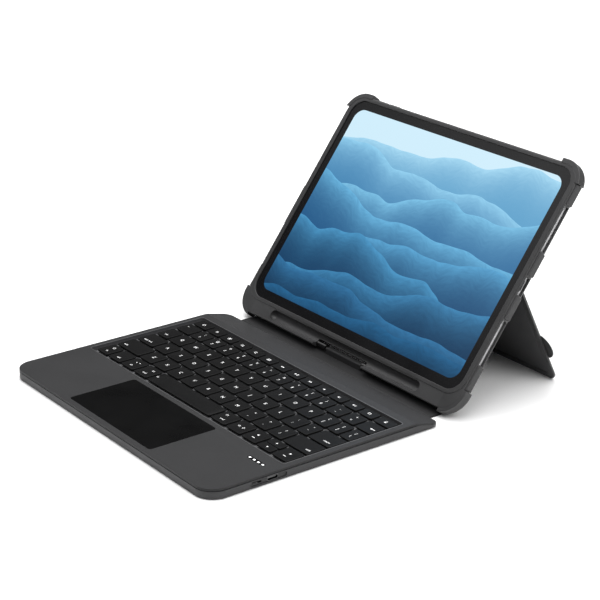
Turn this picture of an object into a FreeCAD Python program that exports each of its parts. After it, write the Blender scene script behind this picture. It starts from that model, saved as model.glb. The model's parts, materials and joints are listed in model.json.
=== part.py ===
import FreeCAD, Part
import math
import os

# Tablet keyboard case, in millimetres.
# Build frame: X to the right, Y from the deck's front edge towards the back, Z up from the desk.
# Every node is shifted by -ORIGIN_Y on export, so that the origin is the middle of the footprint.

V = FreeCAD.Vector
X_AXIS = V(1, 0, 0)
TOL = 1e-4
ORIGIN_Y = 161.73

# Keyboard deck
DECK_HALF = 126.0
DECK_REAR = 191.0
DECK_TOP = 7.8
FOOT_H = 0.8
SEAM_TOP = 6.3
SEAM_GAP = 0.5
SEAM_DEPTH = 0.8
SLOPE_START = 170.0
SLOPE_END_TOP = 2.8
SLOPE_SKIN = 1.4
DECK_CORNER = 14.0
DECK_REAR_CORNER = 6.0
DECK_FLOOR = 2.0
WALL = 2.5

# Key field
WELL_HALF = 121.6
WELL_FRONT = 61.8
WELL_REAR = 163.6
WELL_CORNER = 3.0
BEZEL_T = 0.7
BEZEL_TOP = 8.0
KEY_PLATE_Z = (3.7, 4.4)
KEY_FIELD_HALF = 118.9
KEY_FIELD_FRONT = 65.7
KEY_GAP = 1.7
KEY_CORNER = 1.8
KEY_Z = (5.7, 6.75)
KEY_EDGE = 0.3
PLUNGER_R = 1.7
PLUNGER_LOW = 3.95
PLUNGER_CLEAR = 0.3
ALPHA_W = 17.75
FUNCTION_W = 16.75
END_W = 18.4
ROW_HEIGHTS = [17.4, 17.4, 17.4, 17.4, 15.6, 11.8]
ROW_WIDTHS = [
    [15.1, 17.5, 17.5, 18.0, 80.5, 18.5, 18.0, 17.5, 17.0, 18.2],
    [30.6] + [ALPHA_W] * 10 + [29.7],
    [22.1] + [ALPHA_W] * 10 + [13.5, 24.7],
    [15.6] + [ALPHA_W] * 11 + [13.5, 13.45],
    [END_W] + [FUNCTION_W] * 12 + [END_W],
    [END_W] + [FUNCTION_W] * 12 + [END_W],
]
SPACE_INDEX = 4
SPLIT_INDEX = 8

# Trackpad
PAD_HALF = 51.6
PAD_Y = (4.7, 57.7)
PAD_Z = (6.6, 7.7)
PAD_GAP = 0.25
PAD_CORNER = 2.2

# Right-hand pocket with the switch and the charging socket
POCKET_Y = (32.4, 61.6)
POCKET_Z = 3.6
POCKET_H = 3.6
SOCKET_Y = 50.5
SOCKET_SIZE = (9.0, 3.2)
SOCKET_WALL = 0.33
SWITCH_SLOT_Y = (34.9, 41.7)
SWITCH_KNOB_Y = (35.2, 38.2)

# Status lights
LED_CENTRE = (107.0, 51.0)
LED_SIZE = (18.0, 3.2)
LED_PITCH = 4.77
LED_R = 0.5

# Tablet leaning in its case: local X right, local Y up the screen, local Z out of the screen
LEAN_DEG = 53.04
SCREEN_Y = 213.8
SCREEN_Z = 23.8
TABLET_HALF = 123.8
TABLET_V = (-9.0, 169.5)
TABLET_T = 5.9
TABLET_CORNER = 17.0
GLASS_T = 0.7
DISPLAY_HALF = 114.9
DISPLAY_TOP = 160.5
DISPLAY_T = 1.0
CASE_HALF = 126.6
CASE_V = (-21.9, 171.0)
CASE_BACK = -9.0
CASE_FRONT = 0.6
CASE_CORNER = 16.0
CASE_ROUND = 5.6
CASE_FRONT_ROUND = 0.9
CAVITY_ROUND = 1.3
CAVITY_CLEAR = 0.3
LEDGE = -6.1
BACK_OUT = -7.3
BACK_HALF = 118.5
BACK_V = (-13.1, 163.0)
LIP_W = (0.1, 1.0)
LIP_HALF = 125.4
LIP_V = (-10.4, 169.9)
VIEW_HALF = 121.5
VIEW_V = (-7.5, 167.6)
BUMPER_HALF = 129.2
BUMPER_V = (-24.2, 173.7)
BUMPER_CORNER = 18.6
BUMPER_ROUND = 3.9
BUMPER_CAP = 1.2
BUMPER_LOW_FRONT = 0.5
PAD_PROUD = 1.4
PAD_W = (-5.6, -0.3)
PAD_SPANS = [(143.2, 158.7), (87.6, 105.3), (53.3, 71.5), (-2.4, 16.2)]
PAD_LEFT_SPANS = [(53.3, 87.0), (-2.4, 16.2)]
SLOT_HALF = 88.0
SLOT_V = -15.5
SLOT_W = 0.6
SLOT_R = 4.3
NOTCH_X = (-30.5, 27.0)
NOTCH_V = -15.7
SPEAKER_V = ((106.4, 141.8), (17.3, 51.9))
SPEAKER_LEFT_V = ((106.4, 136.0), (17.3, 51.9))
SPEAKER_W = (-5.2, -0.5)
USB_V = (72.4, 86.0)
USB_W = (-5.3, -0.6)
PORT_V = 79.6
PORT_W = -3.1
POWER_V = (141.5, 151.5)
VOLUME_X = (-100.0, -86.0)
VOLUME_LENGTH = 12.0
BUTTON_W = (-4.2, -1.6)
BUTTON_KEY_W = (-3.6, -2.2)
BUTTON_INSET = 0.5
CAMERA = (-104.5, 147.0)
CAMERA_HALF = 12.0

# Hinges of the case, in the leaning frame
CASE_PIVOT = (-19.0, -5.4)
PIVOT_R = 0.5
PIVOT_CLEAR = 0.05
BOSS_R = 2.4
BOSS_SPANS = [(-30.5, -20.1), (22.6, 27.0)]
STAND_AXIS = (80.0, -8.0)
STAND_OPEN_DEG = 63.4
STAND_HALF = 117.9
STAND_W = (-8.85, -7.45)
STAND_TOP = 78.6
BARREL_R = 1.0
KNUCKLE_R = 1.15
ROD_R = 0.45
SKIN_START = 82.6
TAB_REACH = (50.0, 71.0)
TAB_W = (-10.0, -9.15)
TAB_ROOT_X = (110.5, 116.5)
TAB_TIP_X = 124.5

# Fold flap
FLAP_T = 1.6
FLAP_HALF = 112.5
FLAP_FRONT = 193.4
FLAP_REAR = 210.5
LOCATOR_X = (-19.5, 22.0)
LOCATOR_Y = (204.2, 209.5)
LOCATOR_TOP = 6.4
LOCATOR_ROUND = 1.1


def lean_point(v, w):
    """Y and Z in the build frame of a point given up and out of the screen."""
    c = math.cos(math.radians(LEAN_DEG))
    s = math.sin(math.radians(LEAN_DEG))
    return SCREEN_Y + c * v - s * w, SCREEN_Z + s * v + c * w


def stand_length():
    """Distance from the stand's hinge to its foot, so that the foot reaches the desk."""
    axis_z = lean_point(*STAND_AXIS)[1]
    tilt = math.radians(STAND_OPEN_DEG - (90.0 - LEAN_DEG))
    half = (STAND_W[1] - STAND_W[0]) / 2
    offset = (STAND_W[0] + STAND_W[1]) / 2 - STAND_AXIS[1]
    return (axis_z - half + offset * math.sin(tilt) - 0.02) / math.cos(tilt) + half


def box(x, y, z):
    size = (x[1] - x[0], y[1] - y[0], z[1] - z[0])
    return Part.makeBox(*size, V(x[0], y[0], z[0]))


def upright_edges(shape, y):
    found = []
    for edge in shape.Edges:
        b = edge.BoundBox
        if b.ZLength > TOL and b.XLength < TOL and b.YLength < TOL and abs(b.YMin - y) < TOL:
            found.append(edge)
    return found


def slab(x, y, z, front_r, rear_r=None):
    """Box with rounded upright corners at its front and rear."""
    shape = box(x, y, z)
    rear_r = front_r if rear_r is None else rear_r
    shape = shape.makeFillet(front_r, upright_edges(shape, y[0]))
    return shape.makeFillet(rear_r, upright_edges(shape, y[1]))


def soften(shape, radius, z):
    """Rounds the edges that lie flat at one height."""
    level = [e for e in shape.Edges if abs(e.BoundBox.ZMin - z) < TOL and abs(e.BoundBox.ZMax - z) < TOL]
    return shape.makeFillet(radius, level)


def rod(x, y, z, radius):
    return Part.makeCylinder(radius, x[1] - x[0], V(x[0], y, z), X_AXIS)


def post(x, y, z, radius):
    return Part.makeCylinder(radius, z[1] - z[0], V(x, y, z[0]))


def profile_along_x(points, x):
    """Prism along X from a closed outline of Y, Z points."""
    corners = [V(x[0], y, z) for y, z in points]
    face = Part.Face(Part.makePolygon(corners + corners[:1]))
    return face.extrude(V(x[1] - x[0], 0, 0))


def pill_through_x(y, z, height, x):
    """Block along X whose Y, Z outline is a pill."""
    radius = height / 2
    middle = box(x, (y[0] + radius, y[1] - radius), (z - radius, z + radius))
    ends = [rod(x, y[0] + radius, z, radius), rod(x, y[1] - radius, z, radius)]
    return middle.fuse(ends).removeSplitter()


def pill_flat(centre, size, z):
    half = size[0] / 2
    radius = size[1] / 2
    x = (centre[0] - half, centre[0] + half)
    y = (centre[1] - radius, centre[1] + radius)
    return slab(x, y, z, radius - 0.01)


def lean(shape):
    """Moves a shape from the tablet's own frame into the build frame."""
    out = shape.copy()
    out.rotate(V(0, 0, 0), X_AXIS, LEAN_DEG)
    out.translate(V(0, SCREEN_Y, SCREEN_Z))
    return out


def pair(shape):
    return Part.makeCompound([shape, shape.mirror(V(0, 0, 0), X_AXIS)])


def screw_points():
    return [(x, y) for x in (-112.0, 0.0, 112.0) for y in (59.0, 166.0)]


def deck_outline(z):
    return slab((-DECK_HALF, DECK_HALF), (0, DECK_REAR), z, DECK_CORNER, DECK_REAR_CORNER)


def slope_under(y):
    fall = (DECK_TOP - SLOPE_END_TOP) / (DECK_REAR - SLOPE_START)
    return DECK_TOP - SLOPE_SKIN - fall * (y - SLOPE_START)


def seam_end():
    """Where the sloping cover's underside meets the seam height."""
    fall = (DECK_TOP - SLOPE_END_TOP) / (DECK_REAR - SLOPE_START)
    return SLOPE_START + (DECK_TOP - SLOPE_SKIN - SEAM_TOP) / fall


def pocket_tool(grow, x):
    y = (POCKET_Y[0] - grow, POCKET_Y[1] + grow)
    return pill_through_x(y, POCKET_Z, POCKET_H + 2 * grow, x)


def deck_lower_shell():
    reach = (-DECK_HALF, DECK_HALF)
    under = [(0, FOOT_H), (0, SEAM_TOP), (seam_end(), SEAM_TOP), (DECK_REAR, slope_under(DECK_REAR)), (DECK_REAR, FOOT_H)]
    body = profile_along_x(under, reach).common(deck_outline((FOOT_H, DECK_TOP)))
    inner = DECK_HALF - WALL
    body = body.cut(slab((-inner, inner), (WALL, SLOPE_START - 2), (DECK_FLOOR, DECK_TOP), DECK_CORNER - WALL, 3.0))
    seam_z = (SEAM_TOP - SEAM_GAP, SEAM_TOP)
    core = deck_outline(seam_z)
    inset = DECK_HALF - SEAM_DEPTH
    keep = slab((-inset, inset), (SEAM_DEPTH, DECK_REAR), seam_z, DECK_CORNER - SEAM_DEPTH, DECK_REAR_CORNER)
    body = body.cut(core.cut(keep))
    body = body.cut(pocket_tool(0, (inner - 1, DECK_HALF + 1)))
    holes = [post(x, y, (0, DECK_FLOOR + 1), 1.6) for x, y in screw_points()]
    return body.cut(holes)


def deck_top_cover():
    top = [
        (0, SEAM_TOP),
        (0, DECK_TOP),
        (SLOPE_START, DECK_TOP),
        (DECK_REAR, SLOPE_END_TOP),
        (DECK_REAR, slope_under(DECK_REAR)),
        (seam_end(), SEAM_TOP),
    ]
    body = profile_along_x(top, (-DECK_HALF, DECK_HALF)).common(deck_outline((FOOT_H, DECK_TOP)))
    body = body.cut(well_block(0, (SEAM_TOP - 1, DECK_TOP + 1)))
    grown = PAD_HALF + PAD_GAP
    pad_y = (PAD_Y[0] - PAD_GAP, PAD_Y[1] + PAD_GAP)
    body = body.cut(slab((-grown, grown), pad_y, (SEAM_TOP - 1, DECK_TOP + 1), PAD_CORNER + PAD_GAP))
    return body.cut(pill_flat(LED_CENTRE, LED_SIZE, (SEAM_TOP - 1, DECK_TOP + 1)))


def well_block(inset, z):
    half = WELL_HALF - inset
    return slab((-half, half), (WELL_FRONT + inset, WELL_REAR - inset), z, WELL_CORNER - inset)


def key_well_bezel():
    z = (KEY_PLATE_Z[1], BEZEL_TOP)
    ring = well_block(0, z).cut(well_block(BEZEL_T, z))
    return soften(ring, 0.2, BEZEL_TOP)


def key_cells(row):
    """Left edge and width of each key of a row."""
    cells = []
    x = -KEY_FIELD_HALF
    for width in ROW_WIDTHS[row]:
        cells.append((x, width))
        x += width
    return cells


def row_front(row):
    return KEY_FIELD_FRONT + sum(ROW_HEIGHTS[:row])


def cap(x, y):
    shape = slab(x, y, KEY_Z, KEY_CORNER)
    return soften(shape, KEY_EDGE, KEY_Z[1])


def plunger_points(row, index):
    x, width = key_cells(row)[index]
    middle = x + width / 2
    y = row_front(row) + ROW_HEIGHTS[row] / 2
    if width > 60:
        return [(middle - 26.0, y), (middle + 26.0, y)]
    if row == 0 and index == SPLIT_INDEX:
        return [(middle, y - 4.3), (middle, y + 4.3)]
    return [(middle, y)]


def key_caps(row, index):
    x, width = key_cells(row)[index]
    front = row_front(row)
    gap = KEY_GAP / 2
    span = (x + gap, x + width - gap)
    low = front + gap
    high = front + ROW_HEIGHTS[row] - gap
    if row == 0 and index == SPLIT_INDEX:
        middle = (low + high) / 2
        return [cap(span, (low, middle - 0.2)), cap(span, (middle + 0.2, high))]
    return [cap(span, (low, high))]


def key_solids(row, index):
    solids = []
    for shape, spot in zip(key_caps(row, index), plunger_points(row, index)):
        solids.append(shape.fuse(post(spot[0], spot[1], (PLUNGER_LOW, KEY_Z[0] + 0.3), PLUNGER_R)))
    return solids


def key_row(row):
    solids = []
    for index in range(len(ROW_WIDTHS[row])):
        if row == 0 and index == SPACE_INDEX:
            continue
        solids += key_solids(row, index)
    return Part.makeCompound(solids)


def space_bar():
    shape = key_caps(0, SPACE_INDEX)[0]
    stems = [post(x, y, (PLUNGER_LOW, KEY_Z[0] + 0.3), PLUNGER_R) for x, y in plunger_points(0, SPACE_INDEX)]
    return shape.fuse(stems)


def key_plate():
    plate = slab((-122.6, 122.6), (WELL_FRONT - 0.8, WELL_REAR + 0.8), KEY_PLATE_Z, 3.0)
    holes = []
    for row in range(len(ROW_WIDTHS)):
        for index in range(len(ROW_WIDTHS[row])):
            for x, y in plunger_points(row, index):
                holes.append(post(x, y, (KEY_PLATE_Z[0] - 1, KEY_PLATE_Z[1] + 1), PLUNGER_R + PLUNGER_CLEAR))
    return plate.cut(holes)


def main_board():
    return slab((-66.0, 66.0), (92.0, 160.0), (DECK_FLOOR, DECK_FLOOR + 0.7), 2.0)


def battery():
    return slab((58.0, 115.0), (6.5, 56.0), (DECK_FLOOR, DECK_FLOOR + 3.2), 3.0).cut(pocket_clear())


def pocket_clear():
    return box((112.0, 120.0), (30.0, 60.0), (0, DECK_TOP))


def led_window():
    window = pill_flat(LED_CENTRE, LED_SIZE, (SEAM_TOP, DECK_TOP - 0.05))
    return window.cut(led_pipe_list())


def led_pipe_list():
    first = LED_CENTRE[0] - 1.5 * LED_PITCH
    z = (SEAM_TOP, DECK_TOP - 0.02)
    return [post(first + LED_PITCH * i, LED_CENTRE[1], z, LED_R) for i in range(4)]


def socket_block(size, x):
    y = (SOCKET_Y - size[0] / 2, SOCKET_Y + size[0] / 2)
    return pill_through_x(y, POCKET_Z, size[1], x)


def charging_socket():
    inner = tuple(s - 2 * SOCKET_WALL for s in SOCKET_SIZE)
    shell = socket_block(SOCKET_SIZE, (118.2, 125.5)).cut(socket_block(inner, (119.2, 126.5)))
    tongue = box((119.0, 124.4), (SOCKET_Y - 3.3, SOCKET_Y + 3.3), (POCKET_Z - 0.35, POCKET_Z + 0.35))
    return shell.fuse(tongue)


def io_bezel():
    plate = pocket_tool(0, (124.3, 125.4)).cut(socket_block(SOCKET_SIZE, (120.0, 127.0)))
    return plate.cut(box((120.0, 127.0), SWITCH_SLOT_Y, (POCKET_Z - 0.7, POCKET_Z + 0.7)))


def power_switch():
    knob = box((124.0, 125.9), SWITCH_KNOB_Y, (POCKET_Z - 0.6, POCKET_Z + 0.6))
    knob = knob.cut([box((125.6, 126.0), (y, y + 0.3), (3.0, 4.3)) for y in (35.9, 36.55, 37.2)])
    base = box((122.6, 124.1), (34.4, 39.0), (POCKET_Z - 1.2, POCKET_Z + 1.2))
    return knob.fuse(base).removeSplitter()


def deck_feet():
    feet = [slab((-100.0, 100.0), (y, y + 6.0), (0, FOOT_H), 2.9) for y in (10.0, 150.0)]
    return Part.makeCompound([soften(foot, 0.25, 0.0) for foot in feet])


def deck_screws():
    screws = []
    for x, y in screw_points():
        head = post(x, y, (FOOT_H + 0.1, DECK_FLOOR), 1.6)
        screws.append(head.cut(box((x - 1.0, x + 1.0), (y - 0.2, y + 0.2), (0, FOOT_H + 0.5))))
    return Part.makeCompound(screws)


def trackpad_plate():
    pad = slab((-PAD_HALF, PAD_HALF), PAD_Y, PAD_Z, PAD_CORNER)
    pad = soften(pad, 0.2, PAD_Z[1])
    return pad.fuse(post(0, 14.0, (PAD_Z[0] - 0.6, PAD_Z[0] + 0.2), 3.0))


def trackpad_bracket():
    bracket = slab((-50.0, 50.0), (7.0, 57.0), (4.3, 5.1), 3.0)
    bracket = bracket.cut(slab((-40.0, 40.0), (22.0, 50.0), (4.0, 6.0), 3.0))
    legs = [post(x, y, (DECK_FLOOR, 4.3), 2.0) for x in (-45.0, 45.0) for y in (12.0, 52.0)]
    return bracket.fuse(legs)


def flap_block(inset, z):
    half = FLAP_HALF - inset
    return slab((-half, half), (FLAP_FRONT + inset, FLAP_REAR - inset), z, 1.0, 6.0)


def magnet_tools():
    bar = box((62.0, 100.0), (197.5, 206.5), (0.5, 1.1))
    return pair(bar)


def flap_skin():
    outer = flap_block(0, (0, FLAP_T))
    return outer.cut(flap_block(2.0, (0.5, 1.1)))


def flap_stiffener():
    return flap_block(2.0, (0.5, 1.1)).cut(magnet_tools())


def fold_strip():
    half = FLAP_HALF - 0.5
    return box((-half, half), (DECK_REAR, FLAP_FRONT), (0.4, 1.2))


def locating_tab():
    y, z = lean_point(*CASE_PIVOT)
    tab = slab(LOCATOR_X, LOCATOR_Y, (FLAP_T, LOCATOR_TOP), 1.2)
    tab = soften(tab, LOCATOR_ROUND, LOCATOR_TOP)
    return tab.cut(rod((LOCATOR_X[0] - 1, LOCATOR_X[1] + 1), y, z, PIVOT_R + PIVOT_CLEAR))


def case_solid():
    """Outer form of the case with its rounded back edges, before anything is hollowed."""
    body = slab((-CASE_HALF, CASE_HALF), CASE_V, (CASE_BACK, CASE_FRONT), CASE_CORNER)
    body = soften(body, CASE_ROUND, CASE_BACK)
    return soften(body, CASE_FRONT_ROUND, CASE_FRONT)


def cavity():
    half = TABLET_HALF + CAVITY_CLEAR
    v = (TABLET_V[0] - CAVITY_CLEAR, TABLET_V[1] + CAVITY_CLEAR)
    block = slab((-half, half), v, (LEDGE, CASE_FRONT + 1), TABLET_CORNER + CAVITY_CLEAR)
    return soften(block, CAVITY_ROUND, LEDGE)


def stylus_slot():
    half = SLOT_HALF - SLOT_R
    trough = rod((-half, half), SLOT_V, SLOT_W, SLOT_R)
    ends = [Part.makeSphere(SLOT_R, V(x, SLOT_V, SLOT_W)) for x in (-half, half)]
    return trough.fuse(ends)


def notch():
    low = CASE_V[0] - 5
    return slab(NOTCH_X, (low, NOTCH_V), (CASE_BACK - 1, CASE_FRONT + 1), 1.0, 1.5)


def side_windows():
    reach = (TABLET_HALF - 1, CASE_HALF + 3)
    cuts = [box(reach, v, SPEAKER_W) for v in SPEAKER_V]
    cuts += [box((-reach[1], -reach[0]), v, SPEAKER_W) for v in SPEAKER_LEFT_V]
    cuts.append(box(reach, USB_V, USB_W))
    return cuts


def pad_window(grow):
    """Openings for the three button pads: one on the left edge and two on the top edge."""
    w = (BUTTON_W[0] - grow, BUTTON_W[1] + grow)
    power = box((-CASE_HALF - 2, -TABLET_HALF), (POWER_V[0] - grow, POWER_V[1] + grow), w)
    volumes = []
    for x in VOLUME_X:
        span = (x - grow, x + VOLUME_LENGTH + grow)
        volumes.append(box(span, (TABLET_V[1], CASE_V[1] + 2), w))
    return [power] + volumes


def magnet_bay():
    bar = box((42.0, 80.0), (-18.0, -13.6), (-7.2, -4.9))
    return pair(bar)


def case_frame():
    lip_seat = slab((-LIP_HALF, LIP_HALF), LIP_V, (LIP_W[0], CASE_FRONT + 1), CASE_CORNER - 1.2)
    back_opening = slab((-BACK_HALF, BACK_HALF), BACK_V, (CASE_BACK - 1, LEDGE + 1), 8.0)
    axis_v, axis_w = CASE_PIVOT
    body = case_solid().cut(cavity())
    for tool in [lip_seat, back_opening, stylus_slot(), notch(), magnet_bay()]:
        body = body.cut(tool)
    body = body.cut(rod((-33.2, 33.2), axis_v, axis_w, PIVOT_R))
    return body.cut(side_windows() + pad_window(0.25))


def bumper(x, v, front):
    """Thicker corner of the case inside one block of X and V, up to a front height."""
    outer = slab((-BUMPER_HALF, BUMPER_HALF), BUMPER_V, (CASE_BACK + 0.5, front), BUMPER_CORNER)
    outer = soften(outer, BUMPER_ROUND, CASE_BACK + 0.5)
    outer = soften(outer, 0.5, front)
    face_v = (LIP_V[0] - 8.2, LIP_V[1] + 0.1)
    over_face = slab((-LIP_HALF - 0.1, LIP_HALF + 0.1), face_v, (0, 5), CASE_CORNER - 1.1)
    return outer.common(box(x, v, (-20, 20))).cut(case_solid()).cut(over_face)


def rim_lip():
    z = LIP_W
    ring = slab((-LIP_HALF, LIP_HALF), LIP_V, z, CASE_CORNER - 1.2)
    ring = ring.cut(slab((-VIEW_HALF, VIEW_HALF), VIEW_V, (0, 2), CASE_CORNER - 3.5))
    return soften(ring, 0.3, LIP_W[1])


def side_pads(side):
    """Thickened grip pads between the windows of one side wall."""
    pads = []
    for v in PAD_SPANS if side > 0 else PAD_LEFT_SPANS:
        pad = box((CASE_HALF - 1.5, CASE_HALF + PAD_PROUD), v, PAD_W)
        edges = [e for e in pad.Edges if e.BoundBox.XMin > CASE_HALF + PAD_PROUD - 0.1]
        pad = pad.makeFillet(0.6, edges).cut(case_solid())
        pads.append(pad if side > 0 else pad.mirror(V(0, 0, 0), X_AXIS))
    return Part.makeCompound(pads)


def camera_window(grow, w):
    half = CAMERA_HALF + grow
    x = (CAMERA[0] - half, CAMERA[0] + half)
    v = (CAMERA[1] - half, CAMERA[1] + half)
    return slab(x, v, w, 6.0 + grow)


def case_back_plate():
    plate = slab((-BACK_HALF, BACK_HALF), BACK_V, (BACK_OUT, LEDGE), 8.0)
    groove = rod((-112.0, 112.0), STAND_AXIS[0], STAND_AXIS[1], KNUCKLE_R)
    return plate.cut([groove, camera_window(1.0, (CASE_BACK, LEDGE + 1))])


def case_back_skin():
    skin = slab((-BACK_HALF, BACK_HALF), (SKIN_START, BACK_V[1]), (CASE_BACK, BACK_OUT), 1.0, 8.0)
    skin = soften(skin, 0.3, CASE_BACK)
    return skin.cut(camera_window(1.0, (CASE_BACK - 1, LEDGE)))


def camera_surround():
    outer = camera_window(1.0, (CASE_BACK - 0.3, BACK_OUT))
    return outer.cut(camera_window(0.4, (CASE_BACK - 1, LEDGE)))


def knuckle_spans():
    return [(-71.8, -48.2), (48.2, 71.8)]


def barrel_spans():
    return [(-111.0, -72.0), (-48.0, 48.0), (72.0, 111.0)]


def stand_rod():
    return rod((-110.0, 110.0), STAND_AXIS[0], STAND_AXIS[1], ROD_R)


def case_knuckles():
    shapes = [rod(x, STAND_AXIS[0], STAND_AXIS[1], KNUCKLE_R).cut(stand_rod()) for x in knuckle_spans()]
    return Part.makeCompound(shapes)


def pivot_bosses():
    v, w = CASE_PIVOT
    return Part.makeCompound([rod(x, v, w, BOSS_R).cut(rod(x, v, w, PIVOT_R)) for x in BOSS_SPANS])


def pivot_pin():
    return rod((-33.2, 33.2), CASE_PIVOT[0], CASE_PIVOT[1], PIVOT_R)


def open_stand(shape):
    out = shape.copy()
    out.rotate(V(0, *STAND_AXIS), X_AXIS, STAND_OPEN_DEG)
    return out


def stand_end():
    return STAND_AXIS[0] - stand_length()


def stand_slab(v, w):
    return slab((-STAND_HALF, STAND_HALF), v, w, 7.0, 0.5)


def stand_plate():
    plate = stand_slab((stand_end(), STAND_TOP), STAND_W)
    plate = plate.cut(box((-200, 200), (-200, stand_end() + 3.0), (-20, 20)))
    return plate.cut(stand_panel_tool())


def stand_panel_tool():
    """Shallow bed in the inner face for the lining."""
    half = STAND_HALF - 4.5
    return slab((-half, half), (stand_end() + 5.0, STAND_TOP - 4.0), (STAND_W[1] - 0.3, STAND_W[1] + 1), 4.0)


def stand_lining():
    half = STAND_HALF - 4.8
    return slab((-half, half), (stand_end() + 5.3, STAND_TOP - 4.3), (STAND_W[1] - 0.3, STAND_W[1] - 0.1), 3.8)


def stand_foot():
    """Rubber edge with a fully rounded tip."""
    middle = (STAND_W[0] + STAND_W[1]) / 2
    half = (STAND_W[1] - STAND_W[0]) / 2
    strip = stand_slab((stand_end(), STAND_TOP), STAND_W)
    strip = strip.common(box((-200, 200), (-200, stand_end() + 3.0), (-20, 20)))
    straight = STAND_HALF - 7.0
    tip = box((-200, 200), (stand_end() - 1, stand_end() + half), (-20, 20))
    bead = rod((-straight, straight), stand_end() + half, middle, half)
    middle_cut = tip.common(box((-straight, straight), (-200, 200), (-20, 20)))
    return strip.cut(middle_cut).fuse(bead.common(strip)).removeSplitter()


def stand_barrels():
    shapes = []
    for x in barrel_spans():
        barrel = rod(x, STAND_AXIS[0], STAND_AXIS[1], BARREL_R)
        web = box(x, (STAND_TOP, STAND_AXIS[0]), (STAND_W[0], STAND_W[1]))
        web = web.common(box(x, (STAND_TOP, STAND_AXIS[0]), (STAND_AXIS[1] - 0.85, STAND_AXIS[1] + 0.5)))
        hole = rod(x, STAND_AXIS[0], STAND_AXIS[1], ROD_R + PIVOT_CLEAR)
        shapes.append(barrel.fuse(web).cut(hole).removeSplitter())
    return Part.makeCompound(shapes)


def pull_tab():
    """Half-round tab that stands out past the stand's right-hand edge, on its outer face."""
    low = STAND_AXIS[0] - TAB_REACH[1]
    high = STAND_AXIS[0] - TAB_REACH[0]
    z = TAB_W[0]
    root = TAB_ROOT_X[0]
    tip = V(TAB_TIP_X, (low + high) / 2, z)
    bow = Part.Arc(V(STAND_HALF, low, z), tip, V(STAND_HALF, high, z)).toShape()
    corners = [V(STAND_HALF, high, z), V(root, high, z), V(root, low, z), V(STAND_HALF, low, z)]
    sides = [Part.makeLine(a, b) for a, b in zip(corners, corners[1:])]
    leaf = Part.Face(Part.Wire(Part.__sortEdges__([bow] + sides))).extrude(V(0, 0, TAB_W[1] - TAB_W[0]))
    packing = box(TAB_ROOT_X, (low, high), (TAB_W[1], STAND_W[0]))
    return leaf.fuse(packing).removeSplitter()


def tab_rivets():
    spots = [STAND_AXIS[0] - d for d in (TAB_REACH[0] + 4.0, TAB_REACH[1] - 4.0)]
    z = (TAB_W[0] - 0.6, TAB_W[0])
    x = (TAB_ROOT_X[0] + TAB_ROOT_X[1]) / 2
    return Part.makeCompound([soften(post(x, v, z, 1.6), 0.3, z[0]) for v in spots])


def tablet_outline(inset, w):
    half = TABLET_HALF - inset
    v = (TABLET_V[0] + inset, TABLET_V[1] - inset)
    return slab((-half, half), v, w, TABLET_CORNER - inset)


def speaker_holes():
    middle = (SPEAKER_W[0] + SPEAKER_W[1]) / 2
    holes = []
    for v in SPEAKER_V:
        for step in range(8):
            spot = (v[0] + v[1]) / 2 + (step - 3.5) * 2.6
            holes.append(rod((TABLET_HALF - 1.6, TABLET_HALF + 1), spot, middle, 0.75))
            holes.append(rod((-TABLET_HALF - 1, -TABLET_HALF + 1.6), spot, middle, 0.75))
    return holes


def tablet_port_tool(size, x):
    return pill_through_x((PORT_V - size[0] / 2, PORT_V + size[0] / 2), PORT_W, size[1], x)


def tablet_body():
    body = soften(tablet_outline(0, (-TABLET_T, -GLASS_T)), 1.0, -TABLET_T)
    body = body.cut(tablet_outline(1.5, (-TABLET_T + 1.0, 1)))
    return body.cut(speaker_holes() + [tablet_port_tool(SOCKET_SIZE, (118, 126))])


def tablet_port():
    shell = tablet_port_tool(SOCKET_SIZE, (118.0, TABLET_HALF - 0.1))
    inner = tuple(s - 2 * SOCKET_WALL for s in SOCKET_SIZE)
    shell = shell.cut(tablet_port_tool(inner, (119.0, 126.0)))
    tongue = box((118.5, 123.0), (PORT_V - 3.3, PORT_V + 3.3), (PORT_W - 0.35, PORT_W + 0.35))
    return shell.fuse(tongue)


def tablet_glass():
    glass = tablet_outline(0.5, (-GLASS_T, 0))
    return soften(glass, 0.2, 0.0)


def display_panel():
    z = (-GLASS_T - DISPLAY_T, -GLASS_T)
    return slab((-DISPLAY_HALF, DISPLAY_HALF), (0, DISPLAY_TOP), z, 9.0)


def camera_bump():
    bump = camera_window(0, (-TABLET_T - 2.0, -TABLET_T))
    return soften(bump, 0.5, -TABLET_T - 2.0)


def camera_lenses():
    top = -TABLET_T - 2.0
    spots = [(-5.0, -5.0, 3.8), (5.2, 4.6, 3.4), (5.4, -5.6, 1.9)]
    shapes = []
    for dx, dv, radius in spots:
        ring = post(CAMERA[0] + dx, CAMERA[1] + dv, (top - 0.4, top), radius)
        shapes.append(ring.cut(post(CAMERA[0] + dx, CAMERA[1] + dv, (top - 1, top - 0.2), radius - 0.7)))
    return Part.makeCompound(shapes)


def tablet_buttons():
    power_v = (POWER_V[0] + BUTTON_INSET, POWER_V[1] - BUTTON_INSET)
    keys = [box((-TABLET_HALF - 0.2, -TABLET_HALF), power_v, BUTTON_KEY_W)]
    for x in VOLUME_X:
        span = (x + BUTTON_INSET, x + VOLUME_LENGTH - BUTTON_INSET)
        keys.append(box(span, (TABLET_V[1], TABLET_V[1] + 0.2), BUTTON_KEY_W))
    return Part.makeCompound(keys)


def button_pads():
    """Power pad on the left edge and the two volume pads on the top edge."""
    tools = pad_window(0)
    power = tools[0].common(box((-CASE_HALF - 0.7, -TABLET_HALF - 0.9), (0, 200), (-9, 2)))
    volumes = [t.common(box((-200, 0), (TABLET_V[1] + 0.9, CASE_V[1] + 0.7), (-9, 2))) for t in tools[1:]]
    return [power] + volumes


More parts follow.
